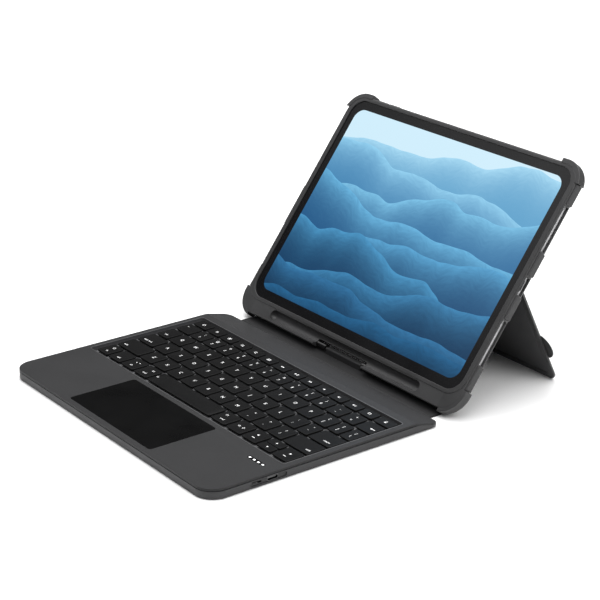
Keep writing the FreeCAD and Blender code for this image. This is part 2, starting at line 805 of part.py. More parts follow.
def deck_nodes():
    nodes = {
        "deck_lower_shell": deck_lower_shell(),
        "deck_top_cover": deck_top_cover(),
        "key_well_bezel": key_well_bezel(),
        "key_plate": key_plate(),
        "main_board": main_board(),
        "deck_batteries": pair(battery()),
        "led_window": led_window(),
        "led_lights": Part.makeCompound(led_pipe_list()),
        "charging_socket": charging_socket(),
        "io_bezel": io_bezel(),
        "power_switch": power_switch(),
        "deck_feet": deck_feet(),
        "deck_screws": deck_screws(),
        "trackpad_plate": trackpad_plate(),
        "trackpad_bracket": trackpad_bracket(),
        "space_bar": space_bar(),
    }
    for row in range(len(ROW_WIDTHS)):
        nodes["key_row_%d" % (row + 1)] = key_row(row)
    return nodes


def flap_nodes():
    return {
        "flap_skin": flap_skin(),
        "flap_stiffener": flap_stiffener(),
        "flap_magnets": magnet_tools(),
        "fold_strip": fold_strip(),
        "locating_tab": locating_tab(),
    }


def case_nodes():
    top = (159.3, 200.0)
    low = (-50.0, -3.0)
    right = (105.0, 200.0)
    left = (-200.0, -105.0)
    low_right = (113.0, 200.0)
    low_left = (-200.0, -113.0)
    power, volume_down, volume_up = button_pads()
    return {
        "case_frame": case_frame(),
        "case_back_plate": case_back_plate(),
        "case_back_skin": case_back_skin(),
        "camera_surround": camera_surround(),
        "rim_lip": rim_lip(),
        "bumper_top_left": bumper(left, top, BUMPER_CAP),
        "bumper_top_right": bumper(right, top, BUMPER_CAP),
        "bumper_low_left": bumper(low_left, low, BUMPER_LOW_FRONT),
        "bumper_low_right": bumper(low_right, low, BUMPER_LOW_FRONT),
        "side_pads_right": side_pads(1),
        "side_pads_left": side_pads(-1),
        "chin_magnets": magnet_bay(),
        "pivot_bosses": pivot_bosses(),
        "pivot_pin": pivot_pin(),
        "stand_knuckles": case_knuckles(),
        "stand_rod": stand_rod(),
        "power_pad": power,
        "volume_down_pad": volume_down,
        "volume_up_pad": volume_up,
    }


def stand_nodes():
    nodes = {
        "stand_plate": stand_plate(),
        "stand_lining": stand_lining(),
        "stand_foot": stand_foot(),
        "stand_barrels": stand_barrels(),
        "pull_tab": pull_tab(),
        "tab_rivets": tab_rivets(),
    }
    return {name: open_stand(shape) for name, shape in nodes.items()}


def tablet_nodes():
    return {
        "tablet_body": tablet_body(),
        "tablet_glass": tablet_glass(),
        "display_panel": display_panel(),
        "tablet_port": tablet_port(),
        "tablet_buttons": tablet_buttons(),
        "camera_bump": camera_bump(),
        "camera_lenses": camera_lenses(),
    }


def export(name, shape):
    out = shape.copy()
    out.translate(V(0, -ORIGIN_Y, 0))
    out.exportStep("parts/%s.step" % name)


os.makedirs("parts", exist_ok=True)
level = dict(deck_nodes(), **flap_nodes())
leaning = dict(case_nodes(), **stand_nodes())
leaning.update(tablet_nodes())
for node, shape in level.items():
    export(node, shape)
for node, shape in leaning.items():
    export(node, lean(shape))
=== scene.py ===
import json
import math

import bmesh
import bpy
from mathutils import Matrix, Vector

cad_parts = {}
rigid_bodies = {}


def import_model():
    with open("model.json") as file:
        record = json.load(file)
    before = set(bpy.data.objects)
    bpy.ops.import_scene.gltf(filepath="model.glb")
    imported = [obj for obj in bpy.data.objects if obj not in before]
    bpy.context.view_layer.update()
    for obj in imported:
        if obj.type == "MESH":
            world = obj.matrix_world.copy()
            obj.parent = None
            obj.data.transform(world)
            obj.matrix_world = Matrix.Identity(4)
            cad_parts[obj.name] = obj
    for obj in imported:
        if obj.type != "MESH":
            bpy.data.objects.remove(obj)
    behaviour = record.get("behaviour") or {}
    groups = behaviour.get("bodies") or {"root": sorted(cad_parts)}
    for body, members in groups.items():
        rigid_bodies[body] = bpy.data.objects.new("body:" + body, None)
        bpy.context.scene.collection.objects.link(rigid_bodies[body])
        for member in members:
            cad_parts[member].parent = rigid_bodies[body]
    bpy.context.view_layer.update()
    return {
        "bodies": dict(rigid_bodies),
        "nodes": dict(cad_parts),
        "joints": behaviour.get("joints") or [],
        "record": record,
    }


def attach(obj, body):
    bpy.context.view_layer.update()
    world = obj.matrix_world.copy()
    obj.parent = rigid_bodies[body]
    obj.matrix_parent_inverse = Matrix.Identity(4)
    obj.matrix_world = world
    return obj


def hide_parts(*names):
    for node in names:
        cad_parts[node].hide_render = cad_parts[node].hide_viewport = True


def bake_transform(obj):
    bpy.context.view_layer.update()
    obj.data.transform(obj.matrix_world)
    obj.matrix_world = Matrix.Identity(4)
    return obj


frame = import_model()
nodes = frame["nodes"]

MM = 0.001
ORIGIN_Y = 161.73
LEAN = math.radians(53.04)
SCREEN = Vector((0.0, 213.8 - ORIGIN_Y, 23.8))
UP = Vector((0.0, math.cos(LEAN), math.sin(LEAN)))
OUT = Vector((0.0, -math.sin(LEAN), math.cos(LEAN)))


def desk(x, y, z):
    """Point given in millimetres from the deck's front edge."""
    return Vector((x, y - ORIGIN_Y, z)) * MM


def leaning(x, v, w):
    """Point given in millimetres across, up and out of the screen."""
    return (SCREEN + Vector((x, 0, 0)) + UP * v + OUT * w) * MM


# ---------------------------------------------------------------- materials

NOISE_LOW = 0.3
NOISE_HIGH = 0.7


class Graph:
    """Small wrapper for building one material's nodes."""

    def __init__(self, name):
        self.mat = bpy.data.materials.new(name)
        self.mat.use_nodes = True
        self.tree = self.mat.node_tree
        self.bsdf = self.tree.nodes["Principled BSDF"]
        self.coords = self.add("ShaderNodeTexCoord").outputs["Object"]

    def add(self, kind, **props):
        node = self.tree.nodes.new(kind)
        for key, value in props.items():
            setattr(node, key, value)
        return node

    def link(self, source, target):
        self.tree.links.new(source, target)

    def put(self, socket, value):
        """Links an output to a socket, or sets the socket's own value."""
        if hasattr(value, "node"):
            self.tree.links.new(value, socket)
        else:
            socket.default_value = value

    def math(self, op, a, b=0.0, c=None, clamp=False):
        node = self.add("ShaderNodeMath", operation=op, use_clamp=clamp)
        self.put(node.inputs[0], a)
        self.put(node.inputs[1], b)
        if c is not None:
            self.put(node.inputs[2], c)
        return node.outputs[0]

    def noise(self, scale, detail=3.0, rough=0.5, stretch=None, distortion=0.0):
        node = self.add("ShaderNodeTexNoise")
        node.inputs["Scale"].default_value = scale
        node.inputs["Detail"].default_value = detail
        node.inputs["Roughness"].default_value = rough
        node.inputs["Distortion"].default_value = distortion
        self.link(self.stretched(stretch), node.inputs["Vector"])
        return node.outputs["Fac"]

    def stretched(self, stretch):
        if stretch is None:
            return self.coords
        mapping = self.add("ShaderNodeMapping")
        self.link(self.coords, mapping.inputs["Vector"])
        mapping.inputs["Scale"].default_value = stretch
        return mapping.outputs["Vector"]

    def cells(self, scale, feature="DISTANCE_TO_EDGE"):
        node = self.add("ShaderNodeTexVoronoi", feature=feature)
        node.inputs["Scale"].default_value = scale
        self.link(self.coords, node.inputs["Vector"])
        return node.outputs["Distance"]

    def ramp(self, fac, stops):
        node = self.add("ShaderNodeValToRGB")
        self.put(node.inputs["Fac"], fac)
        elements = node.color_ramp.elements
        while len(elements) < len(stops):
            elements.new(0.5)
        for element, (spot, color) in zip(elements, stops):
            element.position = spot
            element.color = (*color, 1.0)
        return node.outputs["Color"]

    def spread(self, fac, low, high):
        """Maps the middle of a noise onto a range of values."""
        node = self.add("ShaderNodeMapRange")
        self.put(node.inputs["Value"], fac)
        node.inputs["From Min"].default_value = NOISE_LOW
        node.inputs["From Max"].default_value = NOISE_HIGH
        node.inputs["To Min"].default_value = low
        node.inputs["To Max"].default_value = high
        return node.outputs["Result"]

    def tint(self, fac, low, high):
        return self.ramp(fac, [(NOISE_LOW, low), (NOISE_HIGH, high)])

    def painted_edge_highlight(self, color, highlight_color, amount):
        """Lightens convex edges a little: a painted highlight along them."""
        geometry = self.add("ShaderNodeNewGeometry")
        edge = self.ramp(geometry.outputs["Pointiness"], [(0.5, (0, 0, 0)), (0.58, (1, 1, 1))])
        mix = self.add("ShaderNodeMix", data_type="RGBA")
        self.put(mix.inputs["Factor"], self.math("MULTIPLY", edge, amount))
        self.link(color, mix.inputs["A"])
        mix.inputs["B"].default_value = (*highlight_color, 1.0)
        return mix.outputs["Result"]

    def bump(self, height, strength, distance):
        node = self.add("ShaderNodeBump")
        node.inputs["Strength"].default_value = strength
        node.inputs["Distance"].default_value = distance
        self.link(height, node.inputs["Height"])
        self.link(node.outputs["Normal"], self.bsdf.inputs["Normal"])

    def finish(self, color=None, rough=None, **values):
        if color is not None:
            self.put(self.bsdf.inputs["Base Color"], color)
        if rough is not None:
            self.put(self.bsdf.inputs["Roughness"], rough)
        for key, value in values.items():
            self.bsdf.inputs[key.replace("_", " ")].default_value = value
        return self.mat


def grey(value, blue=1.04):
    return (value, value, value * blue)


def soft_skin(name, tone, grain=1500.0, strength=0.35, rough=(0.44, 0.56), specular=0.32):
    """Fine-grained polyurethane skin over a board."""
    g = Graph(name)
    pores = g.cells(grain)
    fine = g.noise(grain * 1.6, 4.0, 0.6)
    mottle = g.noise(28.0, 4.0, 0.55)
    height = g.math("ADD", pores, g.math("MULTIPLY", fine, 0.5))
    g.bump(height, strength, 0.00012)
    color = g.tint(mottle, grey(tone * 0.9), grey(tone * 1.1))
    # convex edges lightened: a painted highlight
    color = g.painted_edge_highlight(color, grey(tone * 1.7), 0.35)
    return g.finish(color, g.spread(mottle, *rough), Sheen_Weight=0.04, Sheen_Roughness=0.4,
                    Specular_IOR_Level=specular)


def moulded(name, tone, rough=(0.36, 0.48), grain=2600.0, strength=0.22, edge=1.8, specular=0.5):
    """Spark-eroded moulded plastic."""
    g = Graph(name)
    spark = g.noise(grain, 5.0, 0.65)
    cloud = g.noise(55.0, 3.0, 0.5)
    g.bump(spark, strength, 0.00008)
    color = g.tint(cloud, grey(tone * 0.88), grey(tone * 1.12))
    # convex edges lightened to edge times the tone: a painted highlight
    color = g.painted_edge_highlight(color, grey(tone * edge), 0.4)
    return g.finish(color, g.spread(cloud, *rough), Specular_IOR_Level=specular)


def elastomer(name, tone, rough=(0.5, 0.64)):
    """Soft-touch rubber with a powdery surface."""
    g = Graph(name)
    fine = g.noise(3400.0, 5.0, 0.7)
    cloud = g.noise(40.0, 4.0, 0.6)
    g.bump(fine, 0.28, 0.00007)
    color = g.tint(cloud, grey(tone * 0.85), grey(tone * 1.15))
    # convex edges lightened: a painted highlight
    color = g.painted_edge_highlight(color, grey(tone * 2.0), 0.45)
    return g.finish(color, g.spread(cloud, *rough), Sheen_Weight=0.05, Sheen_Roughness=0.5)


def alloy(name, tone, rough=(0.26, 0.36), brushed=False, metal=1.0):
    g = Graph(name)
    if brushed:
        blast = g.noise(900.0, 4.0, 0.7, stretch=(0.05, 1.0, 1.0))
    else:
        blast = g.noise(4200.0, 4.0, 0.7)
    cloud = g.noise(60.0, 3.0, 0.5)
    g.bump(blast, 0.15, 0.00005)
    color = g.tint(cloud, grey(tone * 0.95, 1.01), grey(tone * 1.03, 1.01))
    return g.finish(color, g.spread(blast, *rough), Metallic=metal)


def glossy(name, tone, rough=(0.06, 0.14)):
    g = Graph(name)
    smear = g.noise(90.0, 4.0, 0.6, distortion=0.4)
    fine = g.noise(2600.0, 3.0, 0.6)
    g.bump(fine, 0.04, 0.00003)
    color = g.tint(smear, grey(tone * 0.85), grey(tone * 1.2))
    return g.finish(color, g.spread(smear, *rough), Coat_Weight=0.4, Coat_Roughness=0.05)


def etched_glass(name, tone):
    g = Graph(name)
    smear = g.noise(24.0, 5.0, 0.6, distortion=0.6)
    fine = g.noise(5200.0, 4.0, 0.7)
    g.bump(fine, 0.12, 0.00003)
    color = g.tint(smear, grey(tone * 0.9), grey(tone * 1.15))
    return g.finish(color, g.spread(smear, 0.24, 0.34), Specular_IOR_Level=0.05)


def lit_legend(name, tone):
    g = Graph(name)
    cloud = g.noise(400.0, 3.0, 0.5)
    g.bump(g.noise(3000.0, 3.0, 0.5), 0.05, 0.00002)
    color = g.tint(cloud, grey(tone * 0.94, 1.0), grey(tone, 1.0))
    g.put(g.bsdf.inputs["Emission Color"], color)
    return g.finish(color, g.spread(cloud, 0.45, 0.55), Emission_Strength=0.55)


def circuit(name):
    g = Graph(name)
    tracks = g.cells(260.0, "F1")
    color = g.ramp(tracks, [(0.2, (0.006, 0.05, 0.028)), (0.6, (0.012, 0.11, 0.06))])
    g.bump(tracks, 0.2, 0.0001)
    return g.finish(color, g.spread(g.noise(300.0), 0.3, 0.45))


def wrapped_foil(name, tone):
    g = Graph(name)
    crease = g.cells(70.0)
    color = g.tint(g.noise(80.0), grey(tone * 0.8), grey(tone * 1.1))
    g.bump(crease, 0.3, 0.0003)
    return g.finish(color, g.spread(g.noise(50.0), 0.3, 0.5), Metallic=0.4)


def coordinate(g, direction, origin):
    """Distance in millimetres along a direction from an origin, as a node output."""
    shift = g.add("ShaderNodeVectorMath", operation="SUBTRACT")
    g.link(g.coords, shift.inputs[0])
    shift.inputs[1].default_value = origin
    dot = g.add("ShaderNodeVectorMath", operation="DOT_PRODUCT")
    g.link(shift.outputs["Vector"], dot.inputs[0])
    dot.inputs[1].default_value = direction
    return g.math("MULTIPLY", dot.outputs["Value"], 1000.0)


def mix_color(g, fac, a, b):
    mix = g.add("ShaderNodeMix", data_type="RGBA")
    g.put(mix.inputs["Factor"], fac)
    for socket, value in ((mix.inputs["A"], a), (mix.inputs["B"], b)):
        if hasattr(value, "node"):
            g.link(value, socket)
        else:
            socket.default_value = (*value, 1.0)
    return mix.outputs["Result"]


def rounded_rect_mask(g, x, v, half_x, half_v, radius):
    """1 inside a rounded rectangle, 0 outside."""
    dx = g.math("SUBTRACT", g.math("ABSOLUTE", x), half_x - radius)
    dv = g.math("SUBTRACT", g.math("ABSOLUTE", v), half_v - radius)
    cx = g.math("MAXIMUM", dx, 0.0)
    cv = g.math("MAXIMUM", dv, 0.0)
    reach = g.math("SQRT", g.math("ADD", g.math("MULTIPLY", cx, cx), g.math("MULTIPLY", cv, cv)))
    return g.math("LESS_THAN", reach, radius)


SCREEN_HALF_WIDTH = 114.9
SCREEN_HALF_HEIGHT = 80.25
SCREEN_CORNER = 9.0
DECAY = -0.075

# Waves from the top down: edge height, slant, wobble, noise seed, shadow colour, edge colour
WAVES = [
    (146.0, 0.10, 26.0, 3.1, (0.10, 0.34, 0.58), (0.38, 0.70, 0.90)),
    (127.0, -0.08, 30.0, 11.7, (0.05, 0.22, 0.44), (0.28, 0.62, 0.86)),
    (108.0, 0.12, 30.0, 7.9, (0.025, 0.14, 0.32), (0.20, 0.54, 0.80)),
    (90.0, -0.10, 34.0, 19.3, (0.014, 0.09, 0.23), (0.14, 0.46, 0.74)),
    (72.0, 0.09, 32.0, 23.2, (0.009, 0.060, 0.16), (0.10, 0.38, 0.66)),
    (55.0, -0.12, 30.0, 31.4, (0.006, 0.040, 0.11), (0.07, 0.31, 0.57)),
    (38.0, 0.10, 28.0, 41.6, (0.004, 0.026, 0.075), (0.05, 0.24, 0.47)),
    (22.0, -0.08, 24.0, 53.8, (0.003, 0.016, 0.048), (0.035, 0.18, 0.38)),
    (8.0, 0.06, 20.0, 61.5, (0.002, 0.010, 0.030), (0.02, 0.13, 0.29)),
]
SKY = (0.62, 0.84, 0.96)


def drift(g, a, seed, scale, b=None):
    """Smooth noise along one direction of the screen, centred on nought."""
    place = g.add("ShaderNodeCombineXYZ")
    g.put(place.inputs[0], g.math("MULTIPLY", a, scale))
    if b is not None:
        g.put(place.inputs[2], g.math("MULTIPLY", b, scale * 0.3))
    place.inputs[1].default_value = seed
    node = g.add("ShaderNodeTexNoise")
    node.inputs["Scale"].default_value = 1.0
    node.inputs["Detail"].default_value = 1.5
    g.link(place.outputs[0], node.inputs["Vector"])
    return g.math("SUBTRACT", node.outputs["Fac"], 0.5)


def wallpaper(g, x, v):
    """Plain layered waves, paler towards the top; each is bright along its edge and finely streaked."""
    picture = SKY
    for edge, slant, wobble, seed, shadow, bright in WAVES:
        wander = g.math("MULTIPLY", drift(g, x, seed, 0.018), wobble)
        crest = g.math("ADD", wander, g.math("MULTIPLY", x, slant))
        depth = g.math("ADD", g.math("SUBTRACT", crest, v), edge)
        inside = g.math("GREATER_THAN", depth, 0.0)
        curl = g.math("MULTIPLY", drift(g, x, seed + 5.0, 0.05, v), 26.0)
        grain = g.math("MULTIPLY", drift(g, g.math("ADD", depth, curl), seed + 9.0, 0.5, x), 0.5)
        glow = g.math("POWER", 2.718, g.math("MULTIPLY", g.math("MAXIMUM", depth, 0.0), DECAY))
        streaked = g.math("MULTIPLY", glow, g.math("ADD", grain, 0.95), clamp=True)
        picture = mix_color(g, inside, picture, mix_color(g, streaked, shadow, bright))
    return picture


def screen_glass(name):
    g = Graph(name)
    x = coordinate(g, (1, 0, 0), (0, 0, 0))
    v = coordinate(g, tuple(UP), tuple(SCREEN * MM))
    centred = g.math("SUBTRACT", v, SCREEN_HALF_HEIGHT)
    mask = rounded_rect_mask(g, x, centred, SCREEN_HALF_WIDTH, SCREEN_HALF_HEIGHT, SCREEN_CORNER)
    picture = wallpaper(g, x, v)
    smear = g.noise(20.0, 4.0, 0.6, distortion=0.5)
    bezel = g.tint(smear, (0.004, 0.004, 0.0045), (0.007, 0.007, 0.0075))
    color = mix_color(g, mask, bezel, (0.002, 0.002, 0.002))
    g.put(g.bsdf.inputs["Emission Color"], mix_color(g, mask, (0, 0, 0), picture))
    g.bump(g.noise(3000.0, 2.0, 0.5), 0.01, 0.00002)
    return g.finish(color, g.spread(smear, 0.07, 0.13), Emission_Strength=1.0, IOR=1.5)


MATERIALS = {
    "cover": soft_skin("cover_skin", 0.019, specular=0.16),
    "case_skin": soft_skin("case_skin", 0.034, grain=1300.0),
    "flap": soft_skin("flap_skin_grain", 0.014, grain=1400.0, specular=0.12),
    # edge sets how far the painted highlight lightens convex edges
    "edge": moulded("edge_plastic", 0.022, rough=(0.4, 0.5), edge=2.6, specular=0.35),
    "shell": moulded("shell_plastic", 0.02),
    "bezel_line": moulded("well_line", 0.05, rough=(0.3, 0.4)),
    "well": moulded("well_plate", 0.075, rough=(0.45, 0.6), specular=0.3),
    # keycap edges carry a strong painted highlight
    "key": moulded("keycap", 0.0032, rough=(0.4, 0.5), strength=0.18, edge=4.0, specular=0.07),
    "frame": elastomer("case_elastomer", 0.02, rough=(0.4, 0.52)),
    "bumper": elastomer("bumper_elastomer", 0.018, rough=(0.44, 0.58)),
    "gloss": glossy("gloss_black", 0.004),
    "pad": etched_glass("trackpad_glass", 0.0012),
    "screen": screen_glass("screen_glass"),
    "alloy": alloy("blasted_alloy", 0.85, rough=(0.38, 0.5), metal=0.35),
    "steel": alloy("brushed_steel", 0.5, rough=(0.3, 0.42), brushed=True),
    "dark_steel": alloy("port_steel", 0.12, rough=(0.3, 0.42)),
    "board": circuit("circuit_board"),
    "foil": wrapped_foil("cell_foil", 0.3),
    "light": lit_legend("status_light", 0.95),
    # the legends are print that also glows: painted light
    "legend": lit_legend("legend_print_painted_glow", 0.7),
    "tab": elastomer("tab_elastomer", 0.006, rough=(0.5, 0.6)),
    "foot": elastomer("foot_rubber", 0.018),
}

LOOK = {
    "cover": ["deck_top_cover", "flap_skin", "fold_strip", "locating_tab"],
    "case_skin": ["case_back_skin", "stand_lining"],
    "edge": ["deck_lower_shell"],
    "shell": ["stand_plate", "stand_barrels", "power_switch", "case_back_plate", "flap_stiffener"],
    "bezel_line": ["key_well_bezel"],
    "well": ["key_plate"],
    "key": ["space_bar"] + ["key_row_%d" % (i + 1) for i in range(6)],
    "frame": ["case_frame", "rim_lip", "power_pad", "volume_down_pad", "volume_up_pad"],
    "bumper": [
        "bumper_top_left", "bumper_top_right", "bumper_low_left", "bumper_low_right",
        "side_pads_right", "side_pads_left",
    ],
    "gloss": ["led_window", "camera_surround", "camera_lenses", "pivot_bosses", "display_panel"],
    "pad": ["trackpad_plate"],
    "screen": ["tablet_glass"],
    "alloy": ["tablet_body", "tablet_buttons", "camera_bump"],
    "dark_steel": ["charging_socket"],
    "steel": [
        "deck_screws", "trackpad_bracket", "flap_magnets", "chin_magnets", "pivot_pin",
        "stand_knuckles", "stand_rod", "tab_rivets", "tablet_port",
    ],
    "board": ["main_board"],
    "foil": ["deck_batteries"],
    "light": ["led_lights"],
    "tab": ["pull_tab", "io_bezel"],
    "foot": ["deck_feet", "stand_foot"],
}


def dress(obj, material):
    obj.data.materials.clear()
    obj.data.materials.append(material)


for look, names in LOOK.items():
    for node_name in names:
        dress(nodes[node_name], MATERIALS[look])


# ---------------------------------------------------------------- mesh helpers

FLAT_FACE = 2e-5
SHARP_ANGLE = math.radians(32.0)
SIDE_RUNS = 4


def rounded_rectangle(cx, cy, half_x, half_y, radius, arc=5):
    """Closed outline with arcs at the corners and extra points along the sides."""
    corners = [(1, 1, 0), (-1, 1, 90), (-1, -1, 180), (1, -1, 270)]
    arcs = []
    for sx, sy, start in corners:
        mx = cx + sx * (half_x - radius)
        my = cy + sy * (half_y - radius)
        turns = [math.radians(start + 90 * k / (arc - 1)) for k in range(arc)]
        arcs.append([Vector((mx + radius * math.cos(t), my + radius * math.sin(t))) for t in turns])
    outline = []
    for index, points in enumerate(arcs):
        outline += points
        following = arcs[(index + 1) % 4][0]
        outline += [points[-1].lerp(following, k / SIDE_RUNS) for k in range(1, SIDE_RUNS)]
    return outline


def circle_points(radius, count=20):
    turns = [math.tau * k / count for k in range(count)]
    return [(radius * math.cos(t), radius * math.sin(t)) for t in turns]


def inset(outline, amount):
    """Moves each point of an anticlockwise outline inwards along its normal."""
    moved = []
    for index, point in enumerate(outline):
        before = outline[index - 1]
        after = outline[(index + 1) % len(outline)]
        run = (after - before).normalized()
        moved.append(point + Vector((-run.y, run.x)) * amount)
    return moved


def bridge(bm, low, high):
    """Band of quads between two rings of vertices."""
    count = len(low)
    for k in range(count):
        n = (k + 1) % count
        bm.faces.new((low[k], low[n], high[n], high[k]))


def loft(bm, rings, place):
    """Closed solid through rings of 2-D points with heights; each end is closed with one face."""
    rows = [[bm.verts.new(place(p.x, p.y, z)) for p in ring] for ring, z in rings]
    for low, high in zip(rows, rows[1:]):
        bridge(bm, low, high)
    bm.faces.new(list(reversed(rows[0])))
    bm.faces.new(rows[-1])


def make_piece(name, bm, material, body):
    """Object from a bmesh, smooth except on its large flat faces and sharp edges."""
    mesh = bpy.data.meshes.new(name)
    bmesh.ops.recalc_face_normals(bm, faces=bm.faces)
    bm.to_mesh(mesh)
    bm.free()
    piece = bpy.data.objects.new(name, mesh)
    bpy.context.scene.collection.objects.link(piece)
    for face in mesh.polygons:
        face.use_smooth = True
    mesh.set_sharp_from_angle(angle=SHARP_ANGLE)
    for face in mesh.polygons:
        face.use_smooth = face.area < FLAT_FACE
    mesh.materials.append(material)
    if body:
        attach(piece, body)
    return piece


# ---------------------------------------------------------------- keys

KEY_FIELD_HALF = 118.9
KEY_FIELD_FRONT = 65.7
KEY_GAP = 1.7
KEY_LOW = 5.7
KEY_TOP = 6.75
KEY_DISH = 0.14
KEY_CORNER = 1.8
CAP_SHOULDER = 6.38
CAP_DRAFT = 0.06
CAP_ROLL = 0.34
STEM_SPREAD = 26.0
STEM_RADIUS = 1.6
STEM_LOW = 4.0
ALPHA = 17.75
NARROW = 16.75
END = 18.4
ROW_HEIGHTS = [17.4, 17.4, 17.4, 17.4, 15.6, 11.8]
ROW_WIDTHS = [
    [15.1, 17.5, 17.5, 18.0, 80.5, 18.5, 18.0, 17.5, 17.0, 18.2],
    [30.6] + [ALPHA] * 10 + [29.7],
    [22.1] + [ALPHA] * 10 + [13.5, 24.7],
    [15.6] + [ALPHA] * 11 + [13.5, 13.45],
    [END] + [NARROW] * 12 + [END],
    [END] + [NARROW] * 12 + [END],
]
ROW_BODIES = ["bottom_keys", "lower_keys", "home_keys", "upper_keys", "number_keys", "function_keys"]
SPACE = 4
SPLIT = 8
SPLIT_GAP = 0.4


def key_frames(row):
    """Centre and half-sizes of every cap in a row, with the split key as two."""
    frames = []
    x = -KEY_FIELD_HALF
    front = KEY_FIELD_FRONT + sum(ROW_HEIGHTS[:row])
    half_y = (ROW_HEIGHTS[row] - KEY_GAP) / 2
    cy = front + ROW_HEIGHTS[row] / 2
    for index, width in enumerate(ROW_WIDTHS[row]):
        cx = x + width / 2
        half_x = (width - KEY_GAP) / 2
        if row == 0 and index == SPLIT:
            small = (half_y - SPLIT_GAP / 2) / 2
            shift = small + SPLIT_GAP / 2
            frames.append((cx, cy - shift, half_x, small))
            frames.append((cx, cy + shift, half_x, small))
        else:
            frames.append((cx, cy, half_x, half_y))
        x += width
    return frames


def cap_height(frame, x, y):
    """Height of the dished top at a point."""
    cx, cy, half_x, half_y = frame
    gauge = min(1.0, max(abs(x - cx) / half_x, abs(y - cy) / half_y))
    return KEY_TOP - KEY_DISH * (1 - gauge * gauge)


def key_cap(bm, frame):
    cx, cy, half_x, half_y = frame
    outline = rounded_rectangle(cx, cy, half_x, half_y, KEY_CORNER)
    centre = Vector((cx, cy))
    rings = [
        (inset(outline, 0.5), KEY_LOW - 0.02),
        (outline, KEY_LOW + 0.08),
        (inset(outline, CAP_DRAFT), CAP_SHOULDER),
    ]
    for step in range(1, 4):
        turn = math.radians(30 * step)
        inwards = CAP_DRAFT + CAP_ROLL * (1 - math.cos(turn))
        rings.append((inset(outline, inwards), CAP_SHOULDER + (KEY_TOP - CAP_SHOULDER) * math.sin(turn)))
    rim = inset(outline, CAP_DRAFT + CAP_ROLL)
    for gauge in (0.9, 0.7, 0.45, 0.2):
        ring = [centre + (p - centre) * gauge for p in rim]
        rings.append((ring, KEY_TOP - KEY_DISH * (1 - gauge * gauge)))
    loft(bm, rings, desk)
    stems = [cx - STEM_SPREAD, cx + STEM_SPREAD] if half_x > STEM_SPREAD else [cx]
    for sx in stems:
        circle = [Vector((sx + px, cy + py)) for px, py in circle_points(STEM_RADIUS, 16)]
        loft(bm, [(circle, STEM_LOW), (circle, KEY_LOW)], desk)


LETTER = 3.9
WORD = 2.6
WORD_DROP = -3.2


# A cap's legend is a list of marks, each placed from the middle of the cap.
def word(text, dx, dy, size):
    return ("text", text, dx, dy, size, 0)


def label(text, dx=0):
    return word(text, dx, WORD_DROP, WORD)


def mark(kind, dx, dy, size, turn=0):
    return ("icon", kind, dx, dy, size, turn)


def letters(text):
    return [[word(c, 0, 0, LETTER)] for c in text]


def pair_of_signs(low, high):
    return [word(low, 0, -2.6, 3.4), word(high, 0, 2.9, 3.1)]


FUNCTION_ICONS = [
    [mark("ring", 0, 0, 1.1)],
    [mark("sun", 0, 0, 0.9)],
    [mark("sun", 0, 0, 1.25)],
    [mark("frame", -0.5, 0.4, 1.0), mark("bar", 0.9, -0.9, 0.9)],
    [mark("ring", -0.3, 0.3, 0.95), mark("bar", 1.0, -1.0, 0.9, -45)],
    [mark("frame", 0, 0, 1.3), mark("bar", 0, -0.3, 1.0)],
    [mark("arrow", 0.9, 0, 1.0, 180), mark("arrow", -0.8, 0, 1.0, 180)],
    [mark("arrow", -0.8, 0, 1.15, 0), mark("bar", 1.1, 0, 1.2, 90), mark("bar", 1.9, 0, 1.2, 90)],
    [mark("arrow", -0.9, 0, 1.0, 0), mark("arrow", 0.8, 0, 1.0, 0)],
    [mark("arrow", -0.5, 0, 1.1, 180), mark("bar", -1.4, 0, 0.7, 90)],
    [mark("arrow", -0.9, 0, 1.1, 180), mark("bar", 0.8, 0, 0.7, 90)],
    [mark("arrow", -0.9, 0, 1.1, 180), mark("bar", 0.8, 0, 0.7, 90), mark("bar", 1.6, 0, 1.1, 90)],
    [mark("frame", 0, 0, 1.1)],
    [mark("ring", 0, 0.7, 0.7), mark("block", 0, -0.6, 1.0)],
]


BOTTOM_MARKS = [
    [mark("ring", 0, 3.0, 1.0), label("fn")],
    [label("ctrl")],
    [mark("bar", 2.0, 3.0, 1.1), mark("bar", -1.2, 2.2, 1.1, -40), label("alt")],
    [mark("frame", 2.2, 3.0, 0.8), label("cmd")],
    [mark("bar", -37.5, 0.6, 1.0, 30), mark("bar", -36.2, -0.2, 1.0, 30)],
    [mark("frame", -3.0, 3.0, 0.8), label("cmd")],
    [mark("frame", -2.4, 0.0, 0.8), mark("ring", 2.2, 0.0, 0.8)],
    [mark("arrow", -0.6, 1.6, 1.2, 180), mark("bar", 0, -3.0, 1.6)],
    [mark("arrow", 0, 0, 1.0, -90)],
    [mark("arrow", 0, 0, 1.0, 90)],
    [mark("arrow", 0.6, 1.6, 1.2, 0), mark("bar", 0, -3.0, 1.6)],
]
LOWER_MARKS = [
    [label("shift", -9.0)], *letters("ZXCVBNM"),
    pair_of_signs(",", "<"), pair_of_signs(".", ">"), pair_of_signs("/", "?"), [label("shift", 8.6)],
]
HOME_MARKS = [
    [label("caps lock", -1.6)], *letters("ASDFGHJKL"),
    pair_of_signs(";", ":"), pair_of_signs("'", '"'), [label("return", 3.6)],
]
UPPER_MARKS = [
    [label("tab")], *letters("QWERTYUIOP"),
    pair_of_signs("[", "{"), pair_of_signs("]", "}"), pair_of_signs("\\", "|"),
]
NUMBER_MARKS = [
    [word("~", -4.6, 2.4, 3.4)], *[pair_of_signs(*signs) for signs in zip("1234567890-=", "!@#$%^&*()_+")],
    [mark("arrow", 2.2, -0.8, 1.1, 180), mark("bar", 4.4, -0.8, 1.8)],
]
LEGENDS = [BOTTOM_MARKS, LOWER_MARKS, HOME_MARKS, UPPER_MARKS, NUMBER_MARKS, FUNCTION_ICONS]


LEGEND_T = 0.02
LEGEND_LIFT = 0.03
TEXT_CACHE = {}


